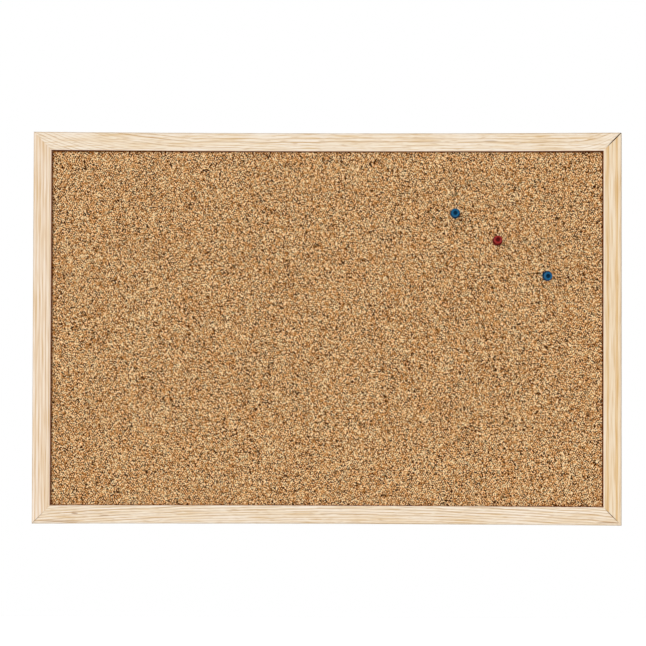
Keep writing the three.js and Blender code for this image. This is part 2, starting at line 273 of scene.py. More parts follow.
def colour(red, green, blue):
    """A colour given as it looks on a screen, 0 to 255, as the linear values that a shader takes."""
    parts = []
    for value in (red, green, blue):
        share = value / 255
        parts.append(share / 12.92 if share <= 0.04045 else ((share + 0.055) / 1.055) ** 2.4)
    return (*parts, 1.0)


def feed(tree, socket, value):
    """Fills an input with a value or a link."""
    if isinstance(value, bpy.types.NodeSocket):
        tree.links.new(value, socket)
    else:
        socket.default_value = value


def node(tree, kind, inputs, **settings):
    """Adds a node, sets its options and fills its inputs."""
    made = tree.nodes.new(kind)
    for setting, value in settings.items():
        setattr(made, setting, value)
    for key, value in inputs.items():
        feed(tree, made.inputs[key], value)
    return made


def calc(tree, operation, *values):
    """The result of a sum."""
    return node(tree, "ShaderNodeMath", dict(enumerate(values)), operation=operation).outputs[0]


def calc_place(tree, operation, first, second):
    """The result of a sum of places, each direction by itself."""
    return node(tree, "ShaderNodeVectorMath", {0: first, 1: second}, operation=operation).outputs[0]


def noise(tree, vector, scales, seed, detail):
    """A seeded noise, with so many waves to the unit in each direction."""
    sized = calc_place(tree, "MULTIPLY", vector, scales)
    inputs = {"Vector": sized, "W": seed, "Scale": 1.0, "Detail": detail}
    return node(tree, "ShaderNodeTexNoise", inputs, noise_dimensions="4D").outputs["Fac"]


def ramp(tree, value, start, end, low=0.0, high=1.0):
    """A value eased from low to high as it goes from start to end."""
    inputs = {"Value": value, "From Min": start, "From Max": end, "To Min": low, "To Max": high}
    made = node(tree, "ShaderNodeMapRange", inputs, interpolation_type="SMOOTHSTEP")
    return made.outputs["Result"]


def blend(tree, share, first, second, kind="MIX"):
    """One colour mixed into another."""
    made = node(tree, "ShaderNodeMix", {0: share, 6: first, 7: second}, data_type="RGBA", blend_type=kind)
    return made.outputs[2]


def laid_over(tree, shades, shade, value, start, end, cover):
    """A colour laid over others as a value goes from start to end: cover is how far it hides them."""
    return blend(tree, ramp(tree, value, start, end, 0.0, cover), shades, colour(*shade))


def new_group(name, inputs, outputs):
    """An empty node group with its named sockets."""
    tree = bpy.data.node_groups.new(name, "ShaderNodeTree")
    for socket in inputs:
        kind = "NodeSocketVector" if socket == "Place" else "NodeSocketFloat"
        tree.interface.new_socket(name=socket, in_out="INPUT", socket_type=kind)
    for socket in outputs:
        tree.interface.new_socket(name=socket, in_out="OUTPUT", socket_type="NodeSocketFloat")
    return tree, tree.nodes.new("NodeGroupInput").outputs


def new_finish(name):
    """A new material, its node tree and its shader."""
    made = bpy.data.materials.new(name)
    made.use_nodes = True
    return made, made.node_tree, made.node_tree.nodes["Principled BSDF"]


def own_place(tree):
    """Where a point of a piece is, in the frame that the whole board shares."""
    return node(tree, "ShaderNodeTexCoord", {}).outputs["Object"]


def surface(tree, shader, shades, roughness, height, bump, specular):
    """Feeds a shader its colour, its roughness and a fine relief: bump is its strength and its depth."""
    relief = node(tree, "ShaderNodeBump", {"Height": height, "Strength": bump[0], "Distance": bump[1]})
    feed(tree, shader.inputs["Base Color"], shades)
    feed(tree, shader.inputs["Roughness"], roughness)
    feed(tree, shader.inputs["Normal"], relief.outputs[0])
    shader.inputs["Specular IOR Level"].default_value = specular


def pine_grain_group():
    """Growth rings of a bar in millimetres: X along it, Y back from its face and Z across it."""
    inputs = ["Place", "Ring Width", "Phase", "Unevenness", "Late Share", "Slant", "Wander"]
    inputs += ["Left Start", "Left Curve", "Right Start", "Right Curve", "Steadiness", "Dash Depth", "Seed"]
    outputs = ["Late", "Fibre", "Dashes", "Patches", "Across", "Along"]
    tree, given = new_group("pine_grain", inputs, outputs)
    seed = given["Seed"]
    place = calc_place(tree, "DIVIDE", given["Place"], (MM, MM, MM))
    along, depth, across = node(tree, "ShaderNodeSeparateXYZ", {0: place}).outputs

    # The rings sweep off towards one or both ends, lean into the wood and wander along it.
    left = calc(tree, "MAXIMUM", calc(tree, "SUBTRACT", given["Left Start"], along), 0.0)
    right = calc(tree, "MAXIMUM", calc(tree, "SUBTRACT", along, given["Right Start"]), 0.0)
    left_sweep = calc(tree, "MULTIPLY", calc(tree, "POWER", left, 2.0), given["Left Curve"])
    right_sweep = calc(tree, "MULTIPLY", calc(tree, "POWER", right, 2.0), given["Right Curve"])
    slow = noise(tree, place, (0.009, 0.02, 0.025), seed, 2.0)
    quick = noise(tree, place, (0.035, 0.06, 0.09), seed, 1.0)
    waves = calc(tree, "MULTIPLY_ADD", quick, 0.3, slow)
    wander = calc(tree, "MULTIPLY", calc(tree, "SUBTRACT", waves, 0.65), given["Wander"])
    tilt = calc(tree, "MULTIPLY", depth, given["Slant"])
    field = calc(tree, "SUBTRACT", across, calc(tree, "ADD", left_sweep, right_sweep))
    field = calc(tree, "ADD", calc(tree, "ADD", field, tilt), wander)
    rings = calc(tree, "ADD", calc(tree, "DIVIDE", field, given["Ring Width"]), given["Phase"])
    line = node(tree, "ShaderNodeCombineXYZ", {0: rings}).outputs[0]
    jitter = calc(tree, "SUBTRACT", noise(tree, line, (0.37, 1.0, 1.0), seed, 1.0), 0.5)
    rings = calc(tree, "MULTIPLY_ADD", jitter, given["Unevenness"], rings)

    # In each ring the late wood darkens slowly and ends sharply, more in some rings and places than others.
    darkest = 0.88
    part = calc(tree, "FRACT", rings)
    number = calc(tree, "ADD", calc(tree, "FLOOR", rings), seed)
    luck = node(tree, "ShaderNodeTexWhiteNoise", {"W": number}, noise_dimensions="1D").outputs[0]
    rise = ramp(tree, part, calc(tree, "SUBTRACT", 1.0, given["Late Share"]), darkest)
    fall = ramp(tree, part, darkest, 1.0, 1.0, 0.0)
    strength = calc(tree, "MAXIMUM", ramp(tree, luck, 0.0, 1.0, 0.25, 1.0), given["Steadiness"])
    fading = noise(tree, place, (0.02, 0.1, 0.2), seed, 1.0)
    fading = calc(tree, "MAXIMUM", ramp(tree, fading, 0.25, 0.6, 0.3, 1.0), given["Steadiness"])
    late = calc(tree, "MULTIPLY", rise, fall)
    late = calc(tree, "MULTIPLY", late, calc(tree, "MULTIPLY", strength, fading))

    fibre = noise(tree, place, (0.025, 0.9, 0.9), seed, 1.0)
    dashes = noise(tree, place, (0.08, 0.95, 0.95), seed, 1.0)
    dashes = calc(tree, "MULTIPLY", calc(tree, "SUBTRACT", dashes, 0.5), given["Dash Depth"])
    patches = noise(tree, place, (0.012, 0.05, 0.09), seed, 2.0)
    results = (late, fibre, dashes, patches, across, along)
    node(tree, "NodeGroupOutput", dict(zip(outputs, results)))
    return tree


pine_grain = pine_grain_group()


def pine_finish(side, length, middle, turn, bow, seams):
    """Pine for one bar, with its own grain and marks, and the dirt of its left and its right mitre."""
    early, late, grain, marks, painted_lip_reach = bar_woods[side]
    made, tree, shader = new_finish(f"pine_{side}")
    face_middle = (middle[0], -bar_depth, middle[2])
    fitted = {"Vector": own_place(tree), "Location": face_middle, "Rotation": (0, turn, 0)}
    place = node(tree, "ShaderNodeMapping", fitted, vector_type="TEXTURE").outputs[0]
    parts = node(tree, "ShaderNodeGroup", {"Place": place, **grain}, node_tree=pine_grain).outputs
    wood = blend(tree, parts["Late"], colour(*early), colour(*late))
    fine = ramp(tree, parts["Fibre"], 0.34, 0.56, 1.0, 0.0)
    wood = blend(tree, fine, wood, colour(240, 227, 205), "MULTIPLY")
    broad = ramp(tree, parts["Patches"], 0.3, 0.62, 1.0, 0.0)
    wood = blend(tree, broad, wood, colour(250, 244, 233), "MULTIPLY")
    wood = laid_over(tree, wood, late, parts["Dashes"], 0.05, 0.22, 0.55)
    wood = laid_over(tree, wood, (255, 244, 226), parts["Dashes"], -0.05, -0.22, 0.7)
    for mark_along, mark_across, half_length, half_width, strength in marks:
        off_along = calc(tree, "DIVIDE", calc(tree, "SUBTRACT", parts["Along"], mark_along), half_length)
        off_across = calc(tree, "DIVIDE", calc(tree, "SUBTRACT", parts["Across"], mark_across), half_width)
        squares = [calc(tree, "POWER", off, 2.0) for off in (off_along, off_across)]
        wood = laid_over(tree, wood, (150, 100, 56), calc(tree, "ADD", *squares), 1.0, 0.1, strength)

    # The grain runs straight while the bar bows, so what follows the edges is laid out from the bowed bar.
    share = calc(tree, "DIVIDE", parts["Along"], length / MM / 2)
    bowed = calc(tree, "MULTIPLY_ADD", calc(tree, "MULTIPLY", share, share), -bow / MM, bow / MM)
    across = calc(tree, "ADD", parts["Across"], bowed)
    outer = bar_face / MM / 2
    dull = ramp(tree, parts["Late"], 0.0, 1.0, 0.68, 0.52)
    for end, (darkest, reach, breadths, depth) in zip((-1.0, 1.0), seams):
        breadth = breadths[0] if end > 0 else breadths[1]
        corner = calc(tree, "MULTIPLY_ADD", parts["Along"], -end, length / MM / 2 - outer)
        from_mitre = calc(tree, "ADD", corner, across)
        off = calc(tree, "ABSOLUTE", calc(tree, "SUBTRACT", across, outer - darkest))
        line = ramp(tree, from_mitre, 0.5 * breadth, breadth, 1.0, 0.0)
        line = calc(tree, "MULTIPLY", line, ramp(tree, off, 0.0, reach, depth, 0.0))
        wood = blend(tree, line, wood, colour(82, 34, 0))
        dull = calc(tree, "MAXIMUM", dull, line)

    # Painted shade greys the outer rounded edge, a painted highlight lightens the inner one, and painted
    # shade browns the lip's inner face beside the cork.
    wood = laid_over(tree, wood, (180, 168, 152), across, outer - 1.5, outer, 0.4)
    wood = laid_over(tree, wood, (255, 243, 224), across, 1.4 - outer, 0.6 - outer, 0.5)
    wood = laid_over(tree, wood, (170, 92, 30), across, painted_lip_reach - outer, 0.02 - outer, 0.85)
    grain_height = calc(tree, "MULTIPLY_ADD", parts["Late"], 0.5, parts["Fibre"])
    surface(tree, shader, wood, dull, grain_height, (0.35, 0.1 * MM), 0.1)
    return made


# The grain of each bar, in millimetres. What isn't named is 0.
flat_sawn = {
    "Ring Width": 3.1,
    "Unevenness": 1.3,
    "Late Share": 0.45,
    "Slant": 0.6,
    "Wander": 7.0,
    "Left Start": -125.0,
    "Left Curve": 0.0012,
    "Right Start": 255.0,
    "Right Curve": 0.008,
    "Steadiness": 0.3,
    "Dash Depth": 1.0,
    "Seed": 3.0,
}
long_waves = {
    "Ring Width": 2.7,
    "Phase": 0.3,
    "Unevenness": 1.2,
    "Late Share": 0.55,
    "Slant": 0.5,
    "Wander": 4.5,
    "Left Curve": 0.00015,
    "Right Curve": 0.00015,
    "Steadiness": 0.6,
    "Dash Depth": 0.9,
    "Seed": 11.0,
}
straight_fine = {
    "Ring Width": 3.4,
    "Unevenness": 0.5,
    "Late Share": 0.62,
    "Slant": 0.2,
    "Wander": 0.8,
    "Steadiness": 0.75,
    "Dash Depth": 0.4,
    "Seed": 23.0,
}
broad_bands = {
    "Ring Width": 9.2,
    "Phase": 0.368,
    "Unevenness": 0.1,
    "Late Share": 0.48,
    "Slant": 0.15,
    "Wander": 0.8,
    "Steadiness": 0.85,
    "Dash Depth": 0.4,
    "Seed": 37.0,
}
pale_pine = (254, 240, 222)
tan_pine = (208, 168, 114)
pink_pine = (252, 235, 217)
rose_pine = (226, 190, 146)
brown_pine = (198, 156, 102)
yellow_pine = (249, 230, 204)
ochre_pine = (234, 195, 137)

# Dark streaks, in millimetres: each has its place along and across the bar, half its length, half its
# width, and how dark it is, from 0 to 1.
top_marks = [(166.5, 0.2, 9.0, 1.1, 0.35)]
bottom_marks = [
    (256.0, -1.5, 4.5, 0.8, 0.7),
    (226.0, 0.6, 6.0, 0.7, 0.45),
    (272.0, 6.6, 26.0, 0.9, 0.5),
    (-286.0, 6.2, 14.0, 0.9, 0.55),
]

# The dirt and scorched grain of each mitre, in millimetres: where the line is darkest, from the bar's
# outer edge, how far it reaches from there, how broad it is on the two bars, and how dark, from 0 to 1.
mitre_dirt = {
    "top_left": (18.5, 2.5, (0.5, 0.5), 0.5),
    "top_right": (6.5, 10.0, (1.7, 0.4), 1.0),
    "bottom_right": (10.0, 9.0, (0.75, 0.75), 0.95),
    "bottom_left": (4.0, 12.0, (0.65, 0.65), 0.6),
}

# Each bar's early and late wood, its grain, its marks, and how broad the painted shade along its lip is.
bar_woods = {
    "top": (pale_pine, tan_pine, flat_sawn, top_marks, 0.35),
    "right": (yellow_pine, ochre_pine, broad_bands, [], 0.5),
    "bottom": (pale_pine, brown_pine, long_waves, bottom_marks, 0.35),
    "left": (pink_pine, rose_pine, straight_fine, [], 1.1),
}

# Each bar's length, middle and turn, its left and right corners, and how far it bows in at its middle.
side_reach = (board_width - bar_face) / 2
bars = {
    "top": (board_width, (0, 0, 0), 0, ("top_left", "top_right"), 1.2 * MM),
    "right": (board_height, (side_reach, 0, board_middle), quarter, ("top_right", "bottom_right"), 0),
    "bottom": (board_width, (0, 0, 2 * board_middle), 2 * quarter, ("bottom_right", "bottom_left"), 0.8 * MM),
    "left": (board_height, (-side_reach, 0, board_middle), 3 * quarter, ("bottom_left", "top_left"), 0),
}
slots = staple_slots()
for side, (length, middle, turn, corners, bow) in bars.items():
    openings = [mitre_open[corner] for corner in corners]
    bar = bar_mesh(f"pine_bar_{side}", length, openings, bow)
    moved(bar, Matrix.Translation(middle) @ Matrix.Rotation(turn, 4, "Y"))
    cut_away(bar, slots)
    smooth(bar, 35)
    seams = [mitre_dirt[corner] for corner in corners]
    finish = pine_finish(side, length, middle, turn, bow, seams)
    dressed(bar, finish, "board", "pine", f"frame_bar_{side}")
bpy.data.objects.remove(slots)


# Cork sheet
# A sheet of pressed cork granules, sliced from a block, sanded and glued to the fibreboard behind it.
# The granules are one to three millimetres across, with dark bark and small open pits between them.
cork_low, cork_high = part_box("cork_sheet")
cork_columns = 372
cork_rows = 242
cork_relief = 0.28 * MM
dimple_size = 3.1 * MM
swell_size = 14 * MM
hidden_edge = 6.5 * MM  # held in the groove, so left flat
granule_size = 1.8 * MM
crumb_size = 0.78 * MM
speck_size = 1.15 * MM
fine_noise_size = 0.5 * MM
bark = (46, 4, 0)
pale_splinter = (255, 227, 178)
red_granule = (206, 138, 78)
grey_granule = (100, 92, 66)
lip_shade = (78, 26, 0)

# Where each pin stands, from the board's right and top edges, and how far its head leans, in degrees.
pin_places = {
    "blue_upper": (169.4 * MM, 82.8 * MM, -1.4, -0.5),
    "red": (126.4 * MM, 110.6 * MM, 0.4, 3.1),
    "blue_lower": (75.7 * MM, 146.4 * MM, 0.8, -2.4),
}
flange_radius = 5.1 * MM
pin_gap = 0.3 * MM  # between the cork and the lowest edge of a leaning flange
needle_radius = 0.55 * MM
needle_length = 9 * MM
needle_bore = needle_radius + 0.05 * MM  # of its holes in the cork and in the head


def pin_matrix(pin):
    """The place of a pin, whose needle points along Y: its flange just clears the cork."""
    from_right, from_top, right, up = pin_places[pin]
    right = math.radians(right)
    up = math.radians(up)
    lean = math.acos(math.cos(right) * math.cos(up))
    depth = cork_low.y - pin_gap - flange_radius * math.sin(lean)
    place = Matrix.Translation((board_width / 2 - from_right, depth, board_top - from_top))
    return place @ Matrix.Rotation(-up, 4, "X") @ Matrix.Rotation(right, 4, "Z")


def sheet_grid(name, low, high, depth, columns, rows):
    """A finely divided upright sheet that faces forward, over a box's width and height."""
    deselect()
    middle = (low + high) / 2
    place = {"location": (middle.x, depth, middle.z), "rotation": (quarter, 0, 0)}
    bpy.ops.mesh.primitive_grid_add(x_subdivisions=columns, y_subdivisions=rows, size=1, **place)
    return begun(name, (high.x - low.x, high.z - low.z, 1))


def clear_of_groove(at, low, high):
    """Whether a point of a sheet is clear of the edges that the groove holds."""
    off = at - (low + high) / 2
    half = (high - low) / 2
    return abs(off.x) < half.x - hidden_edge and abs(off.z) < half.z - hidden_edge


def weigh(piece, name, inside):
    """A vertex group of the points that pass a test, for a modifier to act on."""
    group = piece.vertex_groups.new(name=name)
    chosen = [corner.index for corner in piece.data.vertices if inside(corner.co)]
    group.add(chosen, 1.0, "REPLACE")
    return name


def uneven(piece, kind, size, height, group, **settings):
    """Raises and sinks the grouped points of a sheet along Y, by a pattern of a given size."""
    pattern = bpy.data.textures.new(f"{piece.name}_{kind}", kind)
    pattern.noise_scale = size
    for setting, value in settings.items():
        setattr(pattern, setting, value)
    how = {"texture_coords": "LOCAL", "direction": "Y", "mid_level": 0.5}
    use_modifier(piece, "DISPLACE", texture=pattern, strength=height, vertex_group=group, **how)


cork = sheet_grid("cork_face", cork_low, cork_high, cork_low.y, cork_columns, cork_rows)
bpy.ops.mesh.select_mode(type="EDGE")
bpy.ops.mesh.select_all(action="DESELECT")
bpy.ops.mesh.select_non_manifold()
run(0, cork_high.y - cork_low.y, 0)
bpy.ops.mesh.edge_face_add()
faces_out()
open_face = weigh(
    cork, "open_face", lambda at: near(at.y, cork_low.y) and clear_of_groove(at, cork_low, cork_high)
)
uneven(cork, "VORONOI", dimple_size, cork_relief, open_face)
uneven(cork, "CLOUDS", swell_size, 0.5 * cork_relief, open_face)
for pin in pin_places:
    deselect()
    bpy.ops.mesh.primitive_cylinder_add(
        vertices=20, radius=needle_bore, depth=2 * needle_length, rotation=(quarter, 0, 0)
    )
    hole = begun("needle_hole")
    bpy.ops.object.mode_set(mode="OBJECT")
    moved(hole, pin_matrix(pin))
    cut_away(cork, hole)
    bpy.data.objects.remove(hole)
smooth(cork, 50, even=False)


def voronoi(tree, vector, size, feature="F1"):
    """A flat pattern of irregular cells of a given size, over X and Y."""
    inputs = {"Vector": vector, "Scale": 1 / size, "Randomness": 0.88}
    made = node(tree, "ShaderNodeTexVoronoi", inputs, feature=feature, voronoi_dimensions="2D")
    return made.outputs


def chances(tree, cells):
    """Three numbers from 0 to 1 for each cell, by chance."""
    return node(tree, "ShaderNodeSeparateColor", {0: cells["Color"]}).outputs


def speckle(tree, vector, size, detail):
    """A plain noise with lumps of a given size, as a value and as colours."""
    inputs = {"Vector": vector, "Scale": 1 / size, "Detail": detail}
    return node(tree, "ShaderNodeTexNoise", inputs).outputs


def upright(tree, vector):
    """A place on an upright sheet, turned so that its X and Y lie in the sheet, askew to the bars."""
    askew = math.radians(31)
    fitted = {"Vector": vector, "Rotation": (-quarter, 0, askew)}
    return node(tree, "ShaderNodeMapping", fitted).outputs[0]


def warped(tree, vector, size, amount):
    """A place shifted about by a fine noise, so that cells get ragged edges."""
    drift = speckle(tree, vector, size, 2.0)["Color"]
    centred = calc_place(tree, "SUBTRACT", drift, (0.5, 0.5, 0.5))
    shift = calc_place(tree, "MULTIPLY", centred, (amount, amount, amount))
    return calc_place(tree, "ADD", vector, shift)


def tones(tree, value, *stops):
    """A value turned into a colour along a row of stops, each a place and a colour."""
    made = node(tree, "ShaderNodeValToRGB", {0: value})
    row = made.color_ramp.elements
    while len(row) < len(stops):
        row.new(0.5)
    for stop, (place, shade) in zip(row, stops):
        stop.position = place
        stop.color = colour(*shade)
    return made.outputs[0]


cork_finish, tree, shader = new_finish("pressed_cork")
where = own_place(tree)
ragged = upright(tree, warped(tree, where, 1.5 * MM, 0.5 * MM))
granules = voronoi(tree, ragged, granule_size)
crumbs = voronoi(tree, ragged, crumb_size)
specks = voronoi(tree, ragged, speck_size)
seams = voronoi(tree, ragged, granule_size, "DISTANCE_TO_EDGE")["Distance"]
luck = chances(tree, granules)
chance = chances(tree, crumbs)
rare = chances(tree, specks)
fine_noise = speckle(tree, where, fine_noise_size, 2.0)["Fac"]

# A granule is pale in its heart and dark at its rim, or the other way round. Pits lie in the seams
# between granules, and the crumbs that a granule is made of differ in shade.
seam_width = ramp(tree, chance[1], 0.2, 0.8, 0.6, 3.0)
pits = ramp(tree, calc(tree, "MULTIPLY", seams, seam_width), 0.0, 0.1, 1.0, 0.0)
hearts = ramp(tree, granules["Distance"], 0.2, 0.6, 1.6, -1.6)
hearts = calc(tree, "MULTIPLY", hearts, calc(tree, "SUBTRACT", luck[0], 0.36))
tone = calc(tree, "MULTIPLY_ADD", pits, -0.1, calc(tree, "ADD", hearts, 0.2))
tone = calc(tree, "MULTIPLY_ADD", chance[0], 0.6, tone)
shades = tones(
    tree,
    tone,
    (0.0, (52, 8, 0)),
    (0.24, (98, 38, 0)),
    (0.29, (180, 114, 54)),
    (0.58, (208, 147, 86)),
    (0.67, (250, 193, 130)),
    (1.0, (255, 220, 167)),
)
shades = laid_over(tree, shades, bark, rare[0], 0.15, 0.13, 0.95)
shades = laid_over(tree, shades, pale_splinter, rare[1], 0.87, 0.89, 0.95)
shades = laid_over(tree, shades, red_granule, luck[1], 0.93, 0.95, 0.4)
shades = laid_over(tree, shades, grey_granule, luck[2], 0.985, 0.99, 0.6)

# Painted shade along the lips, where each lip shades the cork: the axis across each, its place, the way in
# from it, its width and its depth, from 0 to 1.
lips = [
    (0, left_high.x, 1.0, 2.4 * MM, 0.7),
    (0, -left_high.x, -1.0, 1.7 * MM, 1.0),
    (2, top_low.z, -1.0, 2.9 * MM, 0.95),
    (2, bottom_high.z, 1.0, 1.6 * MM, 0.6),
]
parts = node(tree, "ShaderNodeSeparateXYZ", {0: where}).outputs
painted_lip_shade = 0.0
for axis, edge, inward, width, depth in lips:
    away = calc(tree, "MULTIPLY", calc(tree, "SUBTRACT", parts[axis], edge), inward)
    away = calc(tree, "MULTIPLY_ADD", calc(tree, "SUBTRACT", fine_noise, 0.5), 2 * MM, away)
    painted_lip_shade = calc(tree, "MAXIMUM", painted_lip_shade, ramp(tree, away, 0.3 * width, width, depth, 0.0))
shades = blend(tree, painted_lip_shade, shades, colour(*lip_shade))
dull = ramp(tree, tone, 0.0, 1.0, 0.95, 0.8)
relief = calc(tree, "MULTIPLY_ADD", chance[0], 0.35, calc(tree, "MULTIPLY", pits, -1.0))
relief = calc(tree, "MULTIPLY_ADD", fine_noise, 0.3, relief)
surface(tree, shader, shades, dull, relief, (0.7, 0.3 * MM), 0.01)
dressed(cork, cork_finish, "board", "cork", "cork_sheet")


# Fibreboard core
# A slab of soft fibreboard that gives the pins something to bite in. It is pressed wood fibre, dull and
# matted, and the frame and its two facings hide all of it but the needle holes.
core_finish, tree, shader = new_finish("soft_fibreboard")
matted = warped(tree, own_place(tree), 4 * MM, 6 * MM)
fibres = speckle(tree, matted, 1.2 * MM, 6.0)["Fac"]
shades = tones(tree, fibres, (0.3, (112, 84, 54)), (0.52, (148, 114, 76)), (0.75, (178, 146, 104)))
surface(tree, shader, shades, 0.95, fibres, (0.7, 0.4 * MM), 0.15)
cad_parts["softboard_core"].material_slots[0].material = core_finish


# Backing paper
# A sheet of brown kraft paper glued over the back of the fibreboard. It has cockled a little with the
# damp of the glue, and it shows the short fibres and dark flecks of the pulp.
paper_low, paper_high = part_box("backing_paper")
paper_depth = (paper_low.y + paper_high.y) / 2
paper_thickness = paper_high.y - paper_low.y
paper_columns = 190
paper_rows = 124
fleck_size = 3.5 * MM
paper = sheet_grid("kraft_backing", paper_low, paper_high, paper_depth, paper_columns, paper_rows)
bpy.ops.object.mode_set(mode="OBJECT")
open_paper = weigh(paper, "open_paper", lambda at: clear_of_groove(at, paper_low, paper_high))
uneven(paper, "CLOUDS", 70 * MM, 0.35 * MM, open_paper, noise_depth=1)
uneven(paper, "CLOUDS", 16 * MM, 0.12 * MM, open_paper, noise_depth=2)
use_modifier(paper, "SOLIDIFY", thickness=paper_thickness, offset=0)
smooth(paper, 40)
paper_finish, tree, shader = new_finish("kraft_paper")
where = own_place(tree)
pulp = noise(tree, where, (1 / (3.5 * MM), 1 / (2 * MM), 1 / (1.3 * MM)), 5.0, 4.0)
clouds = noise(tree, where, (25.0, 25.0, 25.0), 8.0, 4.0)
flecks = voronoi(tree, upright(tree, warped(tree, where, 2 * MM, 2 * MM)), fleck_size)["Distance"]
shades = tones(tree, pulp, (0.3, (164, 122, 76)), (0.55, (186, 146, 98)), (0.8, (204, 168, 120)))
shades = laid_over(tree, shades, (170, 130, 84), clouds, 0.3, 0.7, 0.35)
shades = laid_over(tree, shades, (112, 76, 42), flecks, 0.16, 0.1, 0.5)
dull = ramp(tree, pulp, 0.2, 0.8, 0.62, 0.82)
surface(tree, shader, shades, dull, pulp, (0.35, 0.1 * MM), 0.3)
dressed(paper, paper_finish, "board", "kraft_paper", "backing_paper")


# Corner staples
# Two staples of flat galvanised wire across the back of each mitre, shot in until their crowns lie
# just below the wood. The tool leaves their edges soft and their crowns faintly scraped.
staple_crown = 9 * MM
staple_leg = 9 * MM
wire_thickness = 0.7 * MM
wire_width = 1.2 * MM
wire_edge = 0.12 * MM
staple_bend = 1.1 * MM
staple_bend_steps = 6


def bend(centre, axis, degrees, steps):
    """Draws the selected end out round a bend."""
    bpy.ops.mesh.spin(steps=steps, angle=-math.radians(degrees), center=centre, axis=axis)


def close_up(piece):
    """Joins what meets, turns every face outwards and leaves edit mode."""
    bpy.ops.mesh.select_all(action="SELECT")
    bpy.ops.mesh.remove_doubles(threshold=0.001 * MM)
    faces_out()
    return piece


def soften(piece, width, segments, degrees=40):
    """Rounds the edges of a piece that are sharper than an angle."""
    limit = {"limit_method": "ANGLE", "angle_limit": math.radians(degrees), "use_clamp_overlap": True}
    use_modifier(piece, "BEVEL", width=width, segments=segments, **limit)


def staple_mesh():
    """A staple with its crown along X and its legs along -Y."""
    deselect()
    leg = (staple_crown - wire_thickness) / 2
    bpy.ops.mesh.primitive_plane_add(size=1, location=(-leg, -staple_leg, 0), rotation=(quarter, 0, 0))
    staple = begun("staple", (wire_thickness, wire_width, 1))
    inner = staple_crown / 2 - staple_bend
    run(0, staple_leg - staple_bend, 0)
    bend((-inner, -staple_bend, 0), (0, 0, 1), -90, staple_bend_steps)
    run(2 * inner, 0, 0)
    bend((inner, -staple_bend, 0), (0, 0, 1), -90, staple_bend_steps)
    run(0, staple_bend - staple_leg, 0)
    inside_tip = leg - wire_thickness / 2
    pick(staple, "VERT", lambda at: near(at.y, -staple_leg) and near(abs(at.x), inside_tip))
    bpy.ops.transform.translate(value=(0, wire_thickness, 0))
    close_up(staple)
    soften(staple, wire_edge, 2)
    smooth(staple, 50)
    return staple


def metal_wear_group():
    """Clouding and fine scratches of handled metal: Size is that of the clouds, in millimetres."""
    tree, given = new_group("metal_wear", ["Place", "Size", "Seed"], ["Clouds", "Scratches"])
    scale = calc(tree, "DIVIDE", 1 / MM, given["Size"])
    sized = node(tree, "ShaderNodeVectorMath", {0: given["Place"], "Scale": scale}, operation="SCALE")
    clouds = noise(tree, sized.outputs[0], (1.0, 1.0, 1.0), given["Seed"], 3.0)
    lines = noise(tree, sized.outputs[0], (9.0, 9.0, 0.7), given["Seed"], 2.0)
    node(tree, "NodeGroupOutput", {"Clouds": clouds, "Scratches": ramp(tree, lines, 0.55, 0.75)})
    return tree


metal_wear = metal_wear_group()


def metal_finish(name, dull, bright, smoothest, roughest, size, seed, shaded_skin=None):
    """Metal clouded between two colours and two degrees of roughness: a plastic skin, darkened as painted
    shade, covers the points noted as shaded.
    """
    made, tree, shader = new_finish(name)
    inputs = {"Place": own_place(tree), "Size": size, "Seed": seed}
    wear = node(tree, "ShaderNodeGroup", inputs, node_tree=metal_wear).outputs
    clouds = ramp(tree, wear["Clouds"], 0.3, 0.7)
    shades = blend(tree, clouds, colour(*dull), colour(*bright))
    shader.inputs["Metallic"].default_value = 1.0
    # A skin of plastic in painted shade, not metal, over the points noted as shaded.
    if shaded_skin:
        covered = node(tree, "ShaderNodeAttribute", {}, attribute_name="shade").outputs["Fac"]
        shades = blend(tree, covered, shades, colour(*shaded_skin))
        feed(tree, shader.inputs["Metallic"], calc(tree, "SUBTRACT", 1.0, covered))
    rough = ramp(tree, clouds, 0.0, 1.0, roughest, smoothest)
    rough = calc(tree, "MULTIPLY_ADD", wear["Scratches"], 0.12, rough)
    surface(tree, shader, shades, rough, wear["Scratches"], (0.2, 0.05 * MM), 0.1 if shaded_skin else 0.5)
    return made


staple_finish = metal_finish("galvanised_wire", (150, 150, 146), (190, 190, 184), 0.35, 0.5, 1.5, 2.0)
staple = staple_mesh()
for name, place in staple_places().items():
    twin = copied(staple, f"wire_{name}", place)
    dressed(twin, staple_finish, "board", "staple_wire", name)
bpy.data.objects.remove(staple)


# Hanger straps
# A strip of zinc-plated steel folded round the straight side of each ring and back on itself, with
# rounded lower ends, screwed flat to the back of the side bars.
strap_width = 9 * MM
strap_thickness = 0.7 * MM
strap_length = 25 * MM  # below the hinge
strap_back = 0.3 * MM
strap_face = 1.9 * MM
strap_end_round = 4 * MM
strap_edge = 0.12 * MM
neck_bend = 0.8 * MM
loop_outside = 2 * MM
hinge_out = 2.3 * MM
hinge_height = -70.65 * MM
hanger_x = 290.65 * MM
hanger_sides = {"left": -hanger_x, "right": hanger_x}


def strap_mesh():
    """A strap with its hinge at the origin's height."""
    deselect()
    neck_y = strap_face + neck_bend
    neck_z = -math.sqrt((loop_outside + neck_bend) ** 2 - (neck_y - hinge_out) ** 2)
    to_neck = math.degrees(math.atan2(neck_z, neck_y - hinge_out))
    lower_end = (0, strap_back + strap_thickness / 2, -strap_length)
    bpy.ops.mesh.primitive_plane_add(size=1, location=lower_end)
    strap = begun("strap", (strap_width, strap_thickness, 1))
    run(0, 0, strap_length)
    bend((0, hinge_out, 0), (1, 0, 0), to_neck - 180, 32)
    bend((0, neck_y, neck_z), (1, 0, 0), -to_neck, 10)
    run(0, 0, -strap_length - neck_z)
    pick(strap, "EDGE", lambda at: near(abs(at.x), strap_width / 2) and near(at.z, -strap_length))
    bpy.ops.mesh.bevel(offset=strap_end_round, segments=10, affect="EDGES")
    close_up(strap)
    soften(strap, strap_edge, 2)
    smooth(strap, 40)
    return strap


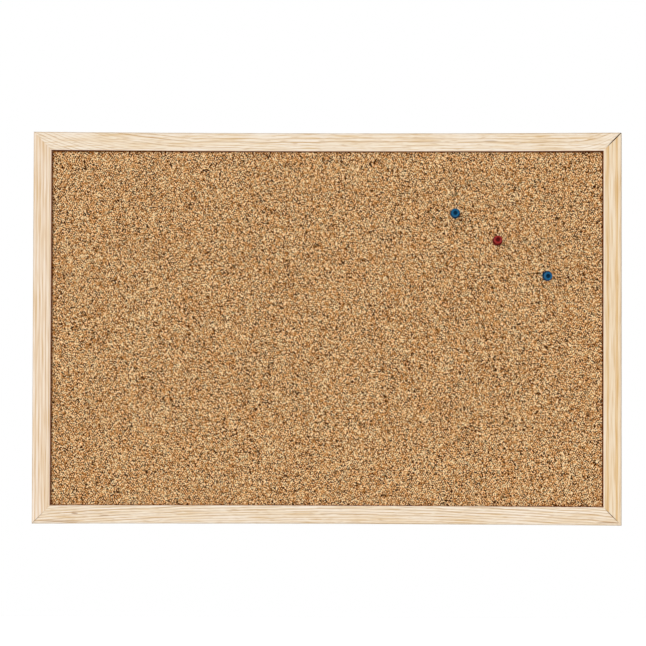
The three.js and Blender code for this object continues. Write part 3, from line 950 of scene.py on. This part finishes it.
zinc_finish = metal_finish("zinc_plate", (140, 144, 147), (182, 185, 184), 0.28, 0.44, 4.0, 6.0)
strap = strap_mesh()
for side, x in hanger_sides.items():
    twin = copied(strap, f"folded_strap_{side}", Matrix.Translation((x, 0, hinge_height)))
    dressed(twin, zinc_finish, "board", "zinc_steel", f"hanger_strap_{side}")
bpy.data.objects.remove(strap)


# Hanging rings
# A D of zinc-plated wire, bent round a former with its two ends butted in the strap's fold, where it
# swings. It hangs down against the strap until a nail lifts it.
ring_wire = 1 * MM  # radius
ring_half = 7 * MM
ring_corner = 2 * MM
ring_leg = 3 * MM
ring_butt = 0.3 * MM  # half of the gap
ring_edge = 0.15 * MM
ring_lean = math.radians(5.53)
corner_steps = 10


def ring_mesh():
    """A ring that hangs from the origin in the upright plane of X and Z."""
    deselect()
    turn = ring_half - ring_corner
    bpy.ops.mesh.primitive_circle_add(
        vertices=24, radius=ring_wire, fill_type="NGON", location=(ring_butt, 0, 0), rotation=(0, quarter, 0)
    )
    ring = begun("ring")
    run(turn - ring_butt, 0, 0)
    bend((turn, 0, -ring_corner), (0, 1, 0), 90, corner_steps)
    run(0, 0, -ring_leg)
    bend((0, 0, -ring_corner - ring_leg), (0, 1, 0), 180, 4 * corner_steps)
    run(0, 0, ring_leg)
    bend((-turn, 0, -ring_corner), (0, 1, 0), 90, corner_steps)
    run(turn - ring_butt, 0, 0)
    close_up(ring)
    soften(ring, ring_edge, 3, 60)
    smooth(ring, 45)
    return ring


ring = ring_mesh()
for side, x in hanger_sides.items():
    hinge = Matrix.Translation((x, hinge_out, hinge_height)) @ Matrix.Rotation(ring_lean, 4, "X")
    twin = copied(ring, f"wire_ring_{side}", hinge)
    dressed(twin, zinc_finish, f"{side}_ring", "zinc_steel", f"hanger_ring_{side}")
bpy.data.objects.remove(ring)


# Hanger screws
# A zinc-plated pan-head wood screw with a cross recess through each strap into its side bar.
# Its head is turned, and the recess is punched.
screw_seat = 2.2 * MM
screw_drop = 19 * MM  # below the hinge
screw_shank = 1.5 * MM  # radius
screw_length = 11 * MM
screw_point = 3 * MM
screw_head = 3 * MM  # radius
screw_rim = 0.7 * MM
screw_dome = 1.5 * MM
screw_edge = 0.08 * MM
screw_turns = {"left": math.radians(22), "right": math.radians(-35)}
recess_size = (3.4 * MM, 2.4 * MM, 0.9 * MM)
recess_taper = 0.6


def turned(name, outline, sides):
    """Draws a half section point by point, each a radius and a height, and spins it about Y."""
    deselect()
    radius, height = outline[0]
    bpy.ops.mesh.primitive_circle_add(vertices=3, radius=MM, location=(radius, height, 0))
    piece = begun(name)
    bpy.ops.mesh.merge(type="CENTER")
    for before, after in zip(outline, outline[1:]):
        step = (after[0] - before[0], after[1] - before[1], 0)
        bpy.ops.mesh.extrude_vertices_move(TRANSFORM_OT_translate={"value": step})
    bpy.ops.mesh.select_all(action="SELECT")
    bend((0, 0, 0), (0, 1, 0), 360, sides)
    return close_up(piece)


def curve(steps, *controls):
    """Points along a Bezier curve after its first control point."""
    points = []
    for step in range(1, steps + 1):
        row = [Vector(control) for control in controls]
        while len(row) > 1:
            row = [a.lerp(b, step / steps) for a, b in zip(row, row[1:])]
        points.append(tuple(row[0]))
    return points


def screw_mesh():
    """A screw whose head seats at height 0, with its point down the Y axis."""
    top = screw_rim + screw_dome
    shoulder = (screw_head, screw_rim + 0.55 * screw_dome)
    outline = [(0, -screw_length), (screw_shank, screw_point - screw_length)]
    outline += [(screw_shank, 0), (screw_head, 0), (screw_head, screw_rim)]
    outline += curve(9, outline[-1], shoulder, (0.55 * screw_head, top), (0, top))
    screw = turned("screw", outline, 40)
    for angle in (0, quarter):
        deselect()
        bpy.ops.mesh.primitive_cube_add(size=1, location=(0, top, 0), rotation=(0, angle, 0))
        blade = begun("recess", recess_size)
        pick(blade, "FACE", lambda at: near(at.y, top - recess_size[1] / 2))
        bpy.ops.transform.resize(value=(recess_taper, 1, recess_taper))
        bpy.ops.object.mode_set(mode="OBJECT")
        cut_away(screw, blade)
        bpy.data.objects.remove(blade)
    soften(screw, screw_edge, 2, 35)
    smooth(screw, 35)
    return screw


screw = screw_mesh()
for side, x in hanger_sides.items():
    seat = Matrix.Translation((x, screw_seat, hinge_height - screw_drop))
    twin = copied(screw, f"pan_head_screw_{side}", seat @ Matrix.Rotation(screw_turns[side], 4, "Y"))
    dressed(twin, zinc_finish, "board", "zinc_steel", f"hanger_screw_{side}")
bpy.data.objects.remove(screw)


# Push pins
# A head of glossy moulded plastic, a flange and a hollow cap on a waisted stem, round a hardened steel
# needle that runs right through it: its blunt end stands in the floor of the cap's well.
flange_thickness = 1.5 * MM
flange_cone = 3.3 * MM
waist_radius = 2.4 * MM
waist_height = 3.1 * MM
stem_height = 7.9 * MM
cap_radius = 4.1 * MM
cap_height = 3.2 * MM
cap_round = 1 * MM
cap_top = -flange_thickness - stem_height - cap_height
well_radius = 2.3 * MM
well_depth = 3 * MM
well_draft = 0.25 * MM
well_round = 0.4 * MM
head_edge = 0.5 * MM
needle_point = 2.6 * MM
needle_tip = 0.03 * MM  # radius
needle_chamfer = 0.1 * MM
needle_proud = 0.4 * MM  # above the floor of the well
needle_root = cap_top + well_depth - needle_proud


def head_outline():
    """Half section of a head, from the needle out over the well, the cap, the stem and the flange."""
    under = cap_top + cap_height
    waist = -flange_thickness - waist_height
    well_floor = cap_top + well_depth
    wall = well_radius - well_draft
    outline = [(needle_bore, well_floor), (wall - well_round, well_floor)]
    outline += curve(4, outline[-1], (wall, well_floor), (wall, well_floor - well_round))
    outline += [(well_radius, cap_top + well_round)]
    outline += curve(5, outline[-1], (well_radius, cap_top), (well_radius + well_round, cap_top))
    outline += [(cap_radius - cap_round, cap_top)]
    outline += curve(7, outline[-1], (cap_radius, cap_top), (cap_radius, cap_top + cap_round))
    outline += [(cap_radius, under - head_edge)]
    flat = cap_radius - head_edge
    outline += curve(6, outline[-1], (cap_radius, under), (flat, under))
    swell = (under + waist) / 2
    outline += curve(14, (flat, under), (waist_radius, under), (waist_radius, swell), (waist_radius, waist))
    flare = (waist - flange_thickness) / 2
    outline += curve(10, outline[-1], (waist_radius, flare), (flange_cone, -flange_thickness))
    edge = flange_radius - head_edge
    rim = (flange_radius, -flange_thickness)
    outline += [(edge, -flange_thickness)]
    outline += curve(6, outline[-1], rim, (flange_radius, head_edge - flange_thickness))
    outline += [(flange_radius, -head_edge)]
    outline += curve(6, outline[-1], (flange_radius, 0), (edge, 0))
    return outline + [(needle_bore, 0), (needle_bore, well_floor)]


def needle_outline():
    """Half section of a needle, from its root in the head to its point."""
    shoulder = needle_length - needle_point
    outline = [(0, needle_root), (needle_radius - needle_chamfer, needle_root)]
    outline += [(needle_radius, needle_root + needle_chamfer)]
    outline += [(needle_radius, needle_root + 3 * needle_chamfer), (needle_radius, shoulder)]
    middle = (0.6 * needle_radius, shoulder + 0.55 * needle_point)
    outline += curve(8, outline[-1], middle, (needle_tip, needle_length))
    return outline + [(0, needle_length)]


def shaded(piece, amount):
    """Notes on each point of a turned piece how much painted shade it takes, from its radius and height; on a
    needle this is its darkened plastic skin.
    """
    notes = piece.data.attributes.new("shade", "FLOAT", "POINT").data
    for corner, note in zip(piece.data.vertices, notes):
        note.value = amount(math.hypot(corner.co.x, corner.co.z), corner.co.y)


def head_painted_shade(radius, height):
    """Painted shade lies in the well, more the deeper it is, and round the edge of the flange."""
    if radius < well_radius + 0.1 * MM and height > cap_top + 0.1 * MM:
        return 0.25 + 0.35 * (height - cap_top) / well_depth
    return 0.7 if height > -flange_thickness - 0.2 * MM and radius > flange_cone else 0


def needle_end_skin(radius, height):
    """The blunt end has a skin of plastic, left by the mould, darkened as painted shade of the well."""
    return 1 if height < needle_root + 0.2 * MM else 0


def plastic_finish(name, shade, seed):
    """Glossy moulded plastic, a little mottled, with dull smears of handling, and painted shade, dark and
    dull, where its points are noted as shaded.
    """
    made, tree, shader = new_finish(name)
    where = own_place(tree)
    mottle = noise(tree, where, (700, 700, 700), seed, 2.0)
    smears = noise(tree, where, (220, 220, 90), seed + 4, 3.0)
    darker = [0.86 * value for value in shade]
    in_shade = [0.25 * value for value in shade]
    shades = blend(tree, ramp(tree, mottle, 0.3, 0.7), colour(*darker), colour(*shade))
    # Painted shade: the well and the flange's edge darken by their noted amount.
    shade_amount = node(tree, "ShaderNodeAttribute", {}, attribute_name="shade").outputs["Fac"]
    shades = blend(tree, shade_amount, shades, colour(*in_shade))
    rough = ramp(tree, smears, 0.35, 0.75, 0.2, 0.36)
    rough = calc(tree, "MAXIMUM", rough, ramp(tree, shade_amount, 0.1, 0.4))
    surface(tree, shader, shades, rough, mottle, (0.12, 0.05 * MM), 0.15)
    return made


def needle_finish(name, shaded_skin):
    """Bright ground steel, with a skin of plastic, darkened as painted shade, over the end that stands in the
    well.
    """
    return metal_finish(name, (176, 178, 182), (210, 212, 214), 0.12, 0.24, 2.0, 12.0, shaded_skin)


blue_finish = plastic_finish("blue_plastic", (16, 100, 148), 1.0)
red_finish = plastic_finish("red_plastic", (170, 42, 40), 9.0)
# Each needle's skin is its plastic darkened as painted shade in the well.
blue_needle = needle_finish("needle_in_blue", (14, 60, 92))
red_needle = needle_finish("needle_in_red", (120, 34, 34))
pin_heads = {
    "blue_upper": ("blue_pin_upper", blue_finish, "blue_plastic", blue_needle),
    "red": ("red_pin", red_finish, "red_plastic", red_needle),
    "blue_lower": ("blue_pin_lower", blue_finish, "blue_plastic", blue_needle),
}
head = turned("head", head_outline(), 72)
smooth(head, 50)
shaded(head, head_painted_shade)
needle = turned("needle", needle_outline(), 28)
smooth(needle, 40)
shaded(needle, needle_end_skin)
for pin, (body, finish, slot, steel) in pin_heads.items():
    moulded = copied(head, f"moulded_pin_{pin}", pin_matrix(pin))
    dressed(moulded, finish, body, slot, f"pin_{pin}_head")
    ground = copied(needle, f"steel_pin_{pin}", pin_matrix(pin))
    dressed(ground, steel, body, "needle_steel", f"pin_{pin}_needle")
bpy.data.objects.remove(head)
bpy.data.objects.remove(needle)


# Scene
# A pale floor below the board and a white room, with a soft key light from the upper left, a weaker fill
# from the right, and a light behind for the back. The room gives the rest of the light.
floor_size = 6
floor_drop = 0.4  # below the board, which hangs
floor_glow = 0.45
room_light = 0.27


def seen_rays(tree):
    """1 for what the camera sees, straight, in a reflection or through glass, and 0 for the light itself."""
    ray = node(tree, "ShaderNodeLightPath", {}).outputs
    seen = calc(tree, "MAXIMUM", ray["Is Camera Ray"], ray["Is Glossy Ray"])
    return calc(tree, "MAXIMUM", seen, ray["Is Transmission Ray"])


deselect()
bpy.ops.mesh.primitive_plane_add(size=floor_size, location=(0, 0, bottom_low.z - floor_drop))
floor = begun("floor")
bpy.ops.object.mode_set(mode="OBJECT")
floor_finish, tree, shader = new_finish("pale_floor")
shader.inputs["Base Color"].default_value = colour(236, 236, 234)
shader.inputs["Roughness"].default_value = 0.9
shader.inputs["Emission Color"].default_value = colour(255, 255, 255)
feed(tree, shader.inputs["Emission Strength"], calc(tree, "MULTIPLY", seen_rays(tree), floor_glow))
floor.data.materials.append(floor_finish)

world = bpy.data.worlds.new("studio")
bpy.context.scene.world = world
world.use_nodes = True
tree = world.node_tree
room = tree.nodes["Background"]
room.inputs["Color"].default_value = colour(255, 255, 255)
feed(tree, room.inputs["Strength"], ramp(tree, seen_rays(tree), 0.0, 1.0, room_light, 1.0))


def lamp(name, direction, strength, spread):
    """A far, soft light that shines evenly over the whole board, from a direction."""
    light = bpy.data.lights.new(name, "SUN")
    light.energy = strength
    light.angle = math.radians(spread)
    placed = bpy.data.objects.new(name, light)
    placed.location = Vector(direction) * 2
    placed.rotation_mode = "QUATERNION"
    placed.rotation_quaternion = Vector(direction).to_track_quat("Z", "Y")
    bpy.context.scene.collection.objects.link(placed)


lamp("key_light", (-0.7, -1, 0.55), 1.65, 60)
lamp("fill_light", (0.6, -1, -0.15), 0.7, 70)
lamp("back_light", (0.6, 1, 0.8), 2.0, 30)

# The camera stands about two and a half metres off, a little low and to the right.
camera_place = Vector((29.35, -2482.6, -236.81)) * MM
camera_aim = Vector((-3.85, -15, -185.51)) * MM
camera_roll = Quaternion((0, 0, 1), math.radians(0.163))
camera = bpy.data.objects.new("camera", bpy.data.cameras.new("camera"))
camera.data.lens = 135
camera.data.sensor_width = 36
camera.location = camera_place
camera.rotation_mode = "QUATERNION"
camera.rotation_quaternion = (camera_aim - camera_place).to_track_quat("-Z", "Y") @ camera_roll
bpy.context.scene.collection.objects.link(camera)
bpy.context.scene.camera = camera
bpy.context.scene.view_settings.view_transform = "Standard"
